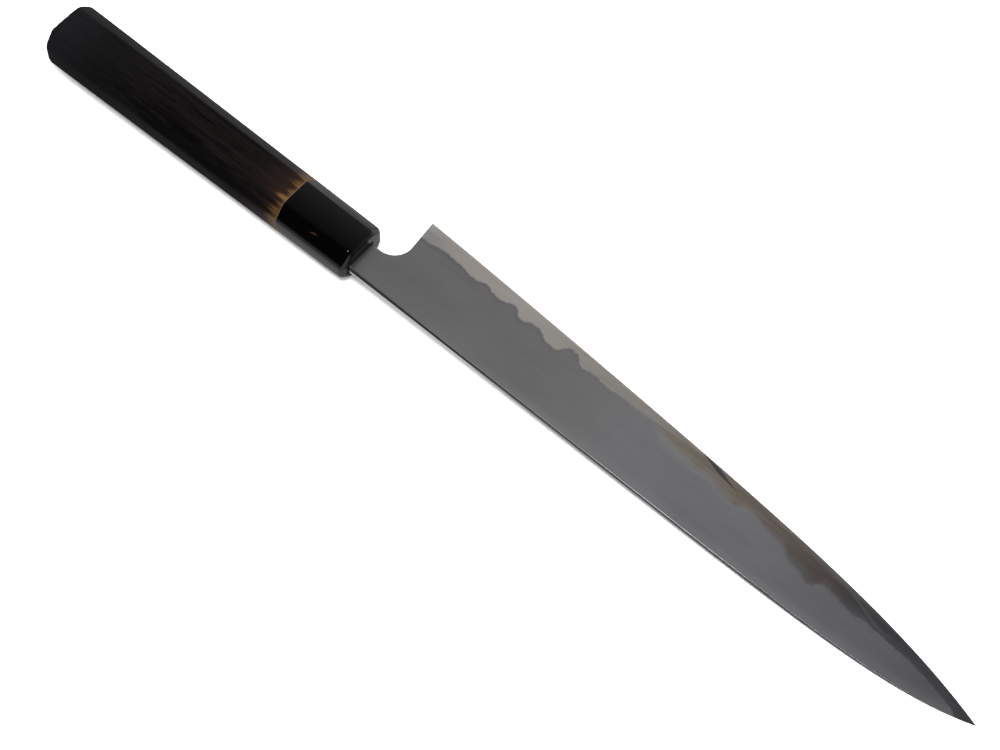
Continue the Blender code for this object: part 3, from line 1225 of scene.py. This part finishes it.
@dataclass
class Blade(Maker):
    """The forged blade with its neck and tang, its polish and its hamon.

    The hamon is the band's height in millimetres, at places that are millimetres from the ferrule.
    """

    tip_across: float = -1.7 * MM
    heel_setback: float = 10.6 * MM
    heel_rake: float = math.radians(6.2)
    neck_height: float = 13.4 * MM
    neck_slope: float = math.radians(5.0)
    choil_radius: float = 8.4 * MM
    neck_thickness: float = 4.2 * MM
    edge_shoulder: float = 0.22 * MM
    taper_power: float = 0.6
    convexity_power: float = 0.95
    edge_bevel: float = 0.6 * MM
    spine_crown: float = 2.8
    spine_fillet: float = 0.42
    side_ease: float = 0.50 * MM
    neck_seat: float = 3.0 * MM
    tang_front: Span = span(8.4, 3.0)
    tang_end: Span = span(5.2, 2.0)
    ring_lean: float = 0.25
    tip_crowding: float = 1.6
    support: float = 0.12 * MM
    support_room: float = 1 * MM
    rounding_limit: float = 0.25
    tang_steps: int = 12
    neck_steps: int = 5
    choil_steps: int = 28
    heel_steps: int = 14
    edge_steps: int = 220
    face_steps: int = 14
    round_steps: int = 7
    crown_steps: int = 8
    hamon: Points = (
        (8, 8.6), (12, 7.6), (17, 7.2), (24, 5.9), (33, 6.4), (38.6, 6.9), (42.8, 5.2), (47, 6.1),
        (51, 6.5), (57.8, 4.2), (61.6, 7.4), (68, 5.3), (72, 6.0), (78, 7.5), (82, 5.6), (85.5, 2.8),
        (89, 4.0), (92.7, 6.0), (97, 5.0), (104, 5.5), (112, 4.4), (119, 4.5), (125.6, 4.0), (130.3, 6.0),
        (141.8, 7.4), (145, 6.4), (147.5, 7.6), (152, 6.8), (156, 6.2), (160, 7.3), (167.8, 7.4),
        (173, 5.0), (178, 5.2), (182, 6.2), (189, 6.2), (195, 9.4), (201, 9.8), (205, 11.2), (208.5, 9.6),
        (212, 7.0), (221, 7.5), (230, 5.9), (236, 5.6), (244, 4.8), (252, 4.0), (260, 3.8), (268, 3.6),
        (274, 4.6), (280, 5.0),
    )  # fmt: skip

    outline: Outline = field(init=False)
    tang_length: float = field(init=False)

    def __post_init__(self) -> None:
        """Take the blade's reach from the construction model."""
        low, high = (corner - self.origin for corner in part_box(Node.BLADE.value))
        tip = Vector((high.x, self.tip_across))
        self.outline = Outline(tip=tip, heel=Vector((self.heel_setback, high.y)))
        self.tang_length = -low.x

    def half_thickness(self, x: float, y: float) -> float:
        """How far a face stands from the blade's middle plane: flat at the neck, a wedge past the heel.

        Args:
            x: The place along the blade.
            y: The place across it.

        Returns:
            Half of the thickness there.
        """
        taper = (1 - held(x / self.outline.tip.x)) ** self.taper_power
        full = self.neck_thickness * taper / 2
        height = self.outline.edge(x) - self.outline.spine(x)
        depth = held((y - self.outline.spine(x)) / height) if height > 0 else 1.0
        wedge = mix(self.edge_shoulder * taper / 2, full, (1 - depth) ** self.convexity_power)
        past = held(x / self.outline.heel.x)
        return mix(full, wedge, past * past * (3 - 2 * past))

    def section(
        self, spine: Vector, opposite: Vector, half_at: Callable[[float, float], float], sharp: bool
    ) -> Ring:
        """A ring from the spine to the point opposite it on the left face, and back on the right.

        Args:
            spine: The ring's point on the spine, as x and y.
            opposite: Its point on the edge, the choil or the neck's underside.
            half_at: Gives half the thickness at an x and a y.
            sharp: Whether the ring ends in the cutting edge.

        Returns:
            The ring's points.
        """
        length = (opposite - spine).length
        limit = length * self.rounding_limit
        last = min(self.edge_bevel if sharp else self.side_ease, limit)
        unit = min(half_at(spine.x, spine.y), limit)
        spots = [(unit * deep, unit * (1 - across)) for deep, across in self.crown()]
        support = self.support if length > self.support_room else 0.0
        face = spots[-1][0] + support, length - last - support
        spots += [(mix(*face, share), 0.0) for share in shares(self.face_steps)]
        if sharp:
            spots += [(mix(length - last, length, share), None) for share in shares(self.round_steps)]
        else:
            turns = (math.pi / 2 * share for share in shares(self.round_steps))
            spots += [(length - last * (1 - math.sin(a)), last * (1 - math.cos(a))) for a in turns]
        left = []
        shoulder = 0.0
        for depth, cut in spots:
            spot = spine.lerp(opposite, depth / length) if length > 0 else spine
            half = half_at(spot.x, spot.y)
            if cut is None:
                shoulder = max(shoulder, half)
                half = shoulder * (length - depth) / last if last > 0 else 0.0
            left.append(Vector((spot.x, spot.y, max(half - (cut or 0.0), 0.0))))
        return left + [Vector((point.x, point.y, -point.z)) for point in reversed(left)]

    def crown(self) -> Points:
        """The spine's rounded back.

        Returns:
            Depths and half widths, for a half thickness of 1.
        """
        radius, fillet = self.spine_crown, self.spine_fillet
        turn = math.asin((1 - fillet) / (radius - fillet))
        turns = (turn * share for share in shares(self.crown_steps))
        points = [(radius * (1 - math.cos(a)), radius * math.sin(a)) for a in turns]
        deep, across = points[-1]
        for share in shares(self.round_steps - 1)[1:]:
            a = mix(turn, math.pi / 2, share)
            arc = (math.cos(turn) - math.cos(a)) * fillet, (math.sin(a) - math.sin(turn)) * fillet
            points.append((deep + arc[0], across + arc[1]))
        return points

    def tang_ring(self, share: float) -> Ring:
        """A ring of the tang.

        Args:
            share: How far it lies from the tang's front to its end.

        Returns:
            The ring's points.
        """
        x = mix(-self.neck_seat, -self.tang_length, share)
        height, thickness = (mix(a, b, share) for a, b in zip(self.tang_front, self.tang_end))
        spine = Vector((x, -height / 2))
        return self.section(spine, Vector((x, height / 2)), lambda _x, _y: thickness / 2, False)

    def choil(self) -> list[Vector]:
        """The outline from the neck's underside, round the choil, to just short of the heel.

        Returns:
            Its points, as x and y.
        """
        heel = self.outline.heel
        neck = Vector((0.0, self.outline.spine_across + self.neck_height))
        along_neck = Vector((math.cos(self.neck_slope), math.sin(self.neck_slope)))
        along_heel = Vector((-math.sin(self.heel_rake), math.cos(self.heel_rake)))
        reach = (heel - neck).cross(along_heel) / along_neck.cross(along_heel)
        turn = along_neck.angle(along_heel)
        start = neck + along_neck * (reach - self.choil_radius * math.tan(turn / 2))
        centre = start + Vector((-along_neck.y, along_neck.x)) * self.choil_radius
        angles = [self.neck_slope + turn * share for share in shares(self.choil_steps)]
        arc = [centre + Vector((math.sin(a), -math.cos(a))) * self.choil_radius for a in angles]
        points = [neck.lerp(start, share) for share in shares(self.neck_steps)[:-1]] + arc
        return points + [arc[-1].lerp(heel, share) for share in shares(self.heel_steps)[1:-1]]

    def mesh(self) -> Sweep:
        """The whole forging as one skin, from the tang's end to the tip.

        Returns:
            The skin.
        """
        outline = self.outline
        underside = outline.spine_across + self.neck_height
        skin = Sweep(self.tang_ring(1.0)).cap_start()
        skin.on(*(self.tang_ring(1 - share) for share in shares(self.tang_steps)[1:]))
        seat = Vector((-self.neck_seat, outline.spine_across)), Vector((-self.neck_seat, underside))
        skin.on(self.section(*seat, self.half_thickness, False))
        for point in self.choil():
            x = point.x + self.ring_lean * (point.y - underside)
            spine = Vector((x, outline.spine(x)))
            skin.on(self.section(spine, point, self.half_thickness, False))
        heel_x = outline.heel.x + self.ring_lean * (outline.heel.y - underside)
        for step in shares(self.edge_steps)[:-1]:
            share = 1 - (1 - step) ** self.tip_crowding
            x = mix(heel_x, outline.tip.x, share)
            edge_x = mix(outline.heel.x, outline.tip.x, share)
            edge = Vector((edge_x, outline.edge(edge_x)))
            skin.on(self.section(Vector((x, outline.spine(x))), edge, self.half_thickness, True))
        tip = Vector((outline.tip.x, outline.tip.y, 0.0))
        return skin.on([tip] * len(self.tang_ring(1.0)))

    def build(self) -> None:
        """Make the blade and dress it."""
        reach = self.outline.tip.x
        curve = [(x * MM / reach, height * MM / PolishedSteel.hamon_room) for x, height in self.hamon]
        finish = PolishedSteel(self.origin, self.outline, curve)
        self.piece("blade_polished", self.mesh().mesh, finish, Slot.STEEL, Node.BLADE)


@dataclass
class Handle(Maker):
    """The octagonal handle: the horn ferrule, the burnt grip, the seal and what lies inside.

    A slot is its lowest y, its highest y and half of its width.
    """

    front_rounding: float = 2.4 * MM
    butt_rounding: float = 2.3 * MM
    butt_softness: float = 3.2 * MM
    bore_wall: float = 7.0 * MM
    clearance: float = 0.3 * MM
    joint_gap: float = 0.02 * MM
    ferrule_slot: Sequence[float] = (-5.3 * MM, 5.3 * MM, 2.6 * MM)
    grip_slot: Sequence[float] = (-3.9 * MM, 3.9 * MM, 2.2 * MM)
    ring_crowding: float = 0.3
    nose_support: float = 0.15 * MM
    butt_support: float = 0.3 * MM
    butt_shares: Sequence[float] = (0.9, 0.75, 0.6, 0.45, 0.3, 0.15, 0.02)
    ferrule_steps: int = 24
    grip_steps: int = 130
    round_steps: int = 8

    grain_depth: float = 0.07 * MM
    grain_depth_at_joint: float = 0.35
    grain_run: float = 8 * MM
    butt_relief: float = 0.34 * MM
    grain_waves: Vector = field(default_factory=lambda: Vector((14.0, 520.0, 520.0)))
    grain_rough: float = 0.9
    grain_layer_ratio: float = 2.1
    grain_layers: int = 3
    grain_crest: float = 0.6
    grain_strength: float = 0.6

    seal_wall: float = 0.4 * MM
    seal_gap: float = 0.03 * MM
    seal_bead: float = 0.30 * MM
    bead_profile: Points = ((0.0, 0.0), (0.7, 0.22), (1.0, 0.5), (0.7, 0.78), (0.0, 1.0))
    seal_tone: Stops = ((0.3, (0.002, 0.002, 0.002)), (0.7, (0.006, 0.005, 0.005)))
    seal_roughness: float = 0.40
    bedding_tone: Stops = ((0.3, (0.30, 0.20, 0.08)), (0.7, (0.50, 0.37, 0.19)))
    bedding_roughness: float = 0.30

    bar: Bar = field(init=False)
    ferrule_length: float = field(init=False)
    bore_radius: float = field(init=False)

    def __post_init__(self) -> None:
        """Take the handle's sizes from the construction model."""
        ferrule_low, ferrule_high = (corner - self.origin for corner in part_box(Node.FERRULE.value))
        grip_low, grip_high = (corner - self.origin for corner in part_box(Node.GRIP.value))
        dowel_low, dowel_high = self.box(Node.DOWEL)
        self.bore_radius = (dowel_high.y - dowel_low.y) / 2 + self.clearance
        self.ferrule_length = -ferrule_low.x
        length = -grip_low.x
        butt = grip_high - grip_low
        joint = ferrule_high - ferrule_low
        run = length - self.butt_rounding - self.ferrule_length
        ahead = self.ferrule_length / run
        past = (length - self.ferrule_length) / run
        self.bar = Bar(
            length=length,
            butt_height=mix(joint.y, butt.y, past),
            butt_width=mix(joint.z, butt.z, past),
            front_height=mix(joint.y, butt.y, -ahead),
            front_width=mix(joint.z, butt.z, -ahead),
            ferrule_length=self.ferrule_length,
        )

    def box(self, node: Node) -> tuple[Vector, Vector]:
        """A solid's lowest and highest corner, on the knife's axes."""
        low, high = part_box(node.value)
        return low - self.origin, high - self.origin

    def sections(self, start: float, end: float, steps: int) -> list[Ring]:
        """Rings of the bar from one place to another, closer together beside the first."""
        crowded = (mix(share, share**2, self.ring_crowding) for share in shares(steps))
        return [self.bar.ring(mix(start, end, share)) for share in crowded]

    def make_ferrule(self) -> None:
        """The horn ferrule, with its mouth for the neck, its slot for the tang and its bore."""
        bar = self.bar
        seal_low, seal_high = self.box(Node.SEAL)
        mouth = (seal_low.y - self.clearance, seal_high.y + self.clearance, seal_high.z + self.clearance)
        mouth_end = seal_low.x - self.clearance
        back = -self.ferrule_length
        skin = Sweep(bar.slot(mouth_end, *mouth)).on(bar.slot(0.0, *mouth))
        nose = rounded(0.0, self.front_rounding, 1, self.round_steps)
        skin.on(*(bar.ring(x, inset) for x, inset in reversed(nose)))
        skin.on(*self.sections(-self.front_rounding - self.nose_support, back, self.ferrule_steps))
        skin.on(bar.circle(back, self.bore_radius), bar.circle(-self.bore_wall, self.bore_radius))
        skin.on(bar.slot(-self.bore_wall, *self.ferrule_slot), bar.slot(mouth_end, *self.ferrule_slot))
        skin.on(bar.slot(mouth_end, *mouth))
        self.piece("ferrule_polished", skin.mesh, PolishedHorn(self.origin), Slot.HORN, Node.FERRULE)

    def make_grip(self) -> None:
        """The burnt grip, with the relief of its brushed grain and its bore."""
        bar = self.bar
        front = -self.ferrule_length - self.joint_gap
        floor, slot_end = (self.box(node)[0].x - self.clearance for node in (Node.DOWEL, Node.BEDDING))
        skin = Sweep(bar.slot(slot_end, *self.grip_slot)).cap_start()
        skin.on(bar.slot(floor, *self.grip_slot), bar.circle(floor, self.bore_radius))
        skin.on(bar.circle(front, self.bore_radius))
        inner_rings = skin.count
        butt = rounded(-bar.length, self.butt_softness, -1, self.round_steps)
        wood_end = -bar.length + self.butt_softness + self.butt_support
        skin.on(*self.sections(front, wood_end, self.grip_steps))
        skin.on(*(bar.ring(x, inset) for x, inset in butt))
        end = bar.ring(*butt[-1])
        middle = Vector((-bar.length, 0.0, 0.0))
        skin.on(*([middle.lerp(point, share) for point in end] for share in self.butt_shares)).cap()
        self.brush(skin, inner_rings)
        finish = BurntWood(self.origin, joint=-self.ferrule_length)
        self.piece("grip_burnt", skin.mesh, finish, Slot.WOOD, Node.GRIP)

    def brush(self, skin: Sweep, inner_rings: int) -> None:
        """Sink the soft wood between the grain lines, most of all at the butt.

        Args:
            skin: The grip's skin.
            inner_rings: How many rings lie inside the handle, which stay smooth.
        """
        bmesh.ops.recalc_face_normals(skin.mesh, faces=skin.mesh.faces)
        layers = self.grain_rough, self.grain_layer_ratio, self.grain_layers
        moves = []
        for vert in skin.mesh.verts:
            if vert[skin.ring] <= inner_rings + 1:
                continue
            spot = vert.co
            waves = noise.fractal(spot * self.grain_waves, *layers)
            behind = held((-self.ferrule_length - spot.x) / self.grain_run)
            near_butt = held(1 - (spot.x + self.bar.length) / self.butt_softness)
            depth = self.grain_depth * mix(self.grain_depth_at_joint, 1.0, behind)
            depth = mix(depth, self.butt_relief, near_butt)
            sunk = min(waves, self.grain_crest) - self.grain_crest
            moves.append((vert, vert.normal * (depth * sunk * self.grain_strength)))
        for vert, move in moves:
            vert.co += move

    def make_seal(self) -> None:
        """The seal round the neck, with a low bead at the mouth."""
        low, high = self.box(Node.SEAL)
        spare = self.clearance - self.seal_gap
        inward = self.seal_wall + spare
        outer = (low.y - spare, high.y + spare, high.z + spare)
        inner = (low.y + inward, high.y - inward, high.z - inward)
        bead = [(self.seal_bead * rise, share) for rise, share in self.bead_profile]
        profile = [(low.x, 1.0), (low.x, 0.0), *bead, (low.x, 1.0)]
        rings = [self.bar.slot(x, *(mix(a, b, s) for a, b in zip(outer, inner))) for x, s in profile]
        skin = Sweep(rings[0]).on(*rings[1:])
        finish = CuredResin(self.origin, self.seal_tone, self.seal_roughness)
        self.piece("mouth_seal_bead", skin.mesh, finish, Slot.SEAL, Node.SEAL)

    def build(self) -> None:
        """Make the handle's pieces and dress what lies inside."""
        self.make_ferrule()
        self.make_grip()
        self.make_seal()
        self.dress(Node.DOWEL, PlainWood(self.origin))
        self.dress(Node.BEDDING, CuredResin(self.origin, self.bedding_tone, self.bedding_roughness))


# The studio


@dataclass(frozen=True)
class Lamp:
    """A round soft light that looks at the knife."""

    name: str
    towards: tuple[float, float, float]
    distance: float
    side: float
    level: float
    mirrored: bool = True

    def build(self) -> None:
        """Hang the lamp. A level of 1 lights a white surface that faces it to white."""
        data = bpy.data.lights.new(self.name, "AREA")
        data.shape = "DISK"
        data.size = self.side
        data.energy = self.level * (math.pi * self.distance) ** 2
        made = bpy.data.objects.new(self.name, data)
        direction = Vector(self.towards).normalized()
        made.location = direction * self.distance
        made.rotation_euler = direction.to_track_quat("Z", "Y").to_euler()
        made.visible_glossy = self.mirrored
        bpy.context.scene.collection.objects.link(made)


@dataclass
class Studio:
    """A white floor under the resting knife, soft lamps and a plain surrounding.

    In reflections alone the floor beside the handle holds painted shade, with darker painted shadow strips
    beside the ferrule on the edge's side and beside the grip on the spine's side.
    """

    origin: Vector
    handle: Handle
    blade: Blade
    floor_radius: float = 0.9
    floor_segments: int = 96
    floor_gap: float = 0.02 * MM
    floor_colour: Colour = (0.80, 0.80, 0.80)
    floor_seen: Colour = (2.20, 2.20, 2.20)
    floor_mirrored: Colour = (1.05, 1.05, 1.05)
    floor_shaded_by_handle: Colour = (0.80, 0.80, 0.80)
    floor_painted_shadow_strip: Colour = (0.54, 0.54, 0.54)
    edge_side: Span = span(-5, 5)
    grip_to_ferrule: Span = span(-58, -44)
    ferrule_to_blade: Span = span(-4, 8)
    ambient: float = 0.50
    white: Colour = (1.0, 1.0, 1.0)
    horizon: Span = (0.0, 0.06)
    sky: Stops = (
        (0.42, (0.020, 0.018, 0.018)),
        (0.55, (0.060, 0.058, 0.058)),
        (0.66, (0.20, 0.20, 0.20)),
        (0.72, (0.30, 0.30, 0.30)),
        (0.82, (0.46, 0.46, 0.46)),
    )
    lamps: Sequence[Lamp] = (
        Lamp("overhead_softbox", (0.12, -0.22, 1.0), 1.3, 0.42, 0.42),
        Lamp("side_softbox", (0.75, 0.70, 0.60), 1.5, 0.90, 0.15, mirrored=False),
    )

    def rests_on(self) -> tuple[Vector, Vector]:
        """The two places that the knife stands on.

        Returns:
            The ferrule's lower front edge and the tip.
        """
        x = -self.handle.front_rounding
        bar = self.handle.bar
        tip = self.blade.outline.tip
        return Vector((x, 0.0, -bar.half_width(x) - bar.crown(x, 1.0))), Vector((tip.x, 0.0, 0.0))

    def make_floor(self) -> None:
        """Lay the floor, which touches the ferrule and the tip and shows its upper side only."""
        near, far = self.rests_on()
        slope = math.atan2(far.z - near.z, far.x - near.x)
        mesh = bmesh.new()
        bmesh.ops.create_circle(mesh, cap_ends=True, segments=self.floor_segments, radius=self.floor_radius)
        bmesh.ops.rotate(mesh, verts=mesh.verts, cent=(0, 0, 0), matrix=Matrix.Rotation(-slope, 3, "Y"))
        drop = Vector((0.0, 0.0, near.z - near.x * math.tan(slope) - self.floor_gap))
        bmesh.ops.translate(mesh, verts=mesh.verts, vec=self.origin + drop)
        data = bpy.data.meshes.new("studio_floor")
        mesh.to_mesh(data)
        mesh.free()
        floor = bpy.data.objects.new("studio_floor", data)
        bpy.context.scene.collection.objects.link(floor)
        data.materials.append(self.floor_material())

    @staticmethod
    def seen_by(graph: Graph) -> tuple[Value, Value]:
        """Tell the rays apart.

        Args:
            graph: The node tree of a material or of the world.

        Returns:
            1 where the camera sees a surface straight on, and 1 where a reflection or a clear view does.
        """
        path = graph.node("ShaderNodeLightPath").socket.node.outputs
        names = ("Is Camera Ray", "Is Glossy Ray", "Is Transmission Ray")
        camera, glossy, clear = (Value(graph, path[name]) for name in names)
        return camera, graph.most(glossy, clear)

    def floor_material(self) -> bpy.types.Material:
        """White where it is lit and grey in the knife's own shadow; in reflections alone, painted shade
        beside the handle.

        Returns:
            The floor's material.
        """
        made = bpy.data.materials.new("studio_floor_finish")
        made.use_nodes = True
        graph = Graph(made.node_tree)
        camera, mirrored = self.seen_by(graph)
        x, y, _ = graph.parts(graph.place(self.origin))
        # Painted shade for reflections alone: the floor beside the handle is darker, most in two strips.
        edge_side = graph.rise(y, *self.edge_side)
        shaded_by_grip = graph.blend(edge_side, self.floor_painted_shadow_strip, self.floor_shaded_by_handle)
        shaded_by_ferrule = graph.blend(edge_side, self.floor_shaded_by_handle, self.floor_painted_shadow_strip)
        reflection = graph.blend(graph.rise(x, *self.grip_to_ferrule), shaded_by_grip, shaded_by_ferrule)
        reflection = graph.blend(graph.rise(x, *self.ferrule_to_blade), reflection, self.floor_mirrored)
        colour = graph.blend(mirrored, self.floor_colour, reflection)
        colour = graph.blend(camera, colour, self.floor_seen)
        upper = graph.node("ShaderNodeBsdfDiffuse", None, {"Color": colour})
        under = graph.node("ShaderNodeNewGeometry", output="Backfacing")
        clear = graph.node("ShaderNodeBsdfTransparent")
        shader = graph.node("ShaderNodeMixShader", None, {0: under, 1: upper, 2: clear})
        graph.end("ShaderNodeOutputMaterial", shader)
        return made

    def make_world(self) -> None:
        """White behind the knife, a dim sky in its reflections and an even light on matt surfaces."""
        world = bpy.data.worlds.new("studio")
        bpy.context.scene.world = world
        world.use_nodes = True
        graph = Graph(world.node_tree)
        camera, mirrored = self.seen_by(graph)
        _, y, z = graph.parts(graph.node("ShaderNodeTexCoord", output="Generated"))
        sky = graph.ramp(y * 0.5 + 0.5, self.sky)
        reflected = graph.blend(graph.rise(z, *self.horizon), self.white, sky)
        even = (self.ambient, self.ambient, self.ambient)
        colour = graph.blend(camera, graph.blend(mirrored, even, reflected), self.white)
        graph.end("ShaderNodeOutputWorld", graph.node("ShaderNodeBackground", None, {0: colour}))

    def build(self) -> None:
        """Set the studio up."""
        self.make_floor()
        self.make_world()
        for lamp in self.lamps:
            lamp.build()
        bpy.context.scene.view_settings.view_transform = "Standard"


@dataclass(frozen=True)
class Viewpoint:
    """The photograph's camera, on the knife's own axes."""

    origin: Vector
    azimuth: float = math.radians(37.426)
    elevation: float = math.radians(62.638)
    roll: float = math.radians(3.038)
    aim: tuple[float, float, float] = (71.32 * MM, -4.93 * MM, 0.0)
    distance: float = 0.89746
    lens_mm: float = 88.41
    clip_start: float = 10 * MM

    def build(self) -> None:
        """Place the camera and make it the scene's own."""
        flat = math.cos(self.elevation)
        level = Vector((math.cos(self.azimuth), math.sin(self.azimuth), 0.0))
        back = Vector((level.y * flat, -level.x * flat, math.sin(self.elevation)))
        upright = back.cross(level)
        right = level * math.cos(self.roll) + upright * math.sin(self.roll)
        turn = Matrix((right, back.cross(right), back)).transposed().to_4x4()
        data = bpy.data.cameras.new("photograph_camera")
        data.lens = self.lens_mm
        data.clip_start = self.clip_start
        made = bpy.data.objects.new("photograph_camera", data)
        made.matrix_world = Matrix.Translation(self.origin + Vector(self.aim) + back * self.distance) @ turn
        bpy.context.scene.collection.objects.link(made)
        bpy.context.scene.camera = made


def knife_origin() -> Vector:
    """The centre of the ferrule's front face, where the knife's own axes start."""
    low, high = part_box(Node.FERRULE.value)
    return Vector((high.x, (low.y + high.y) / 2, (low.z + high.z) / 2))


def main() -> None:
    """Build the knife and its studio, in order."""
    logging.basicConfig(level=logging.INFO, format="%(name)s: %(message)s")
    origin = knife_origin()
    Viewpoint(origin).build()
    blade = Blade(origin)
    handle = Handle(origin)
    blade.build()
    handle.build()
    Studio(origin, handle, blade).build()


if __name__ == "__main__":
    main()
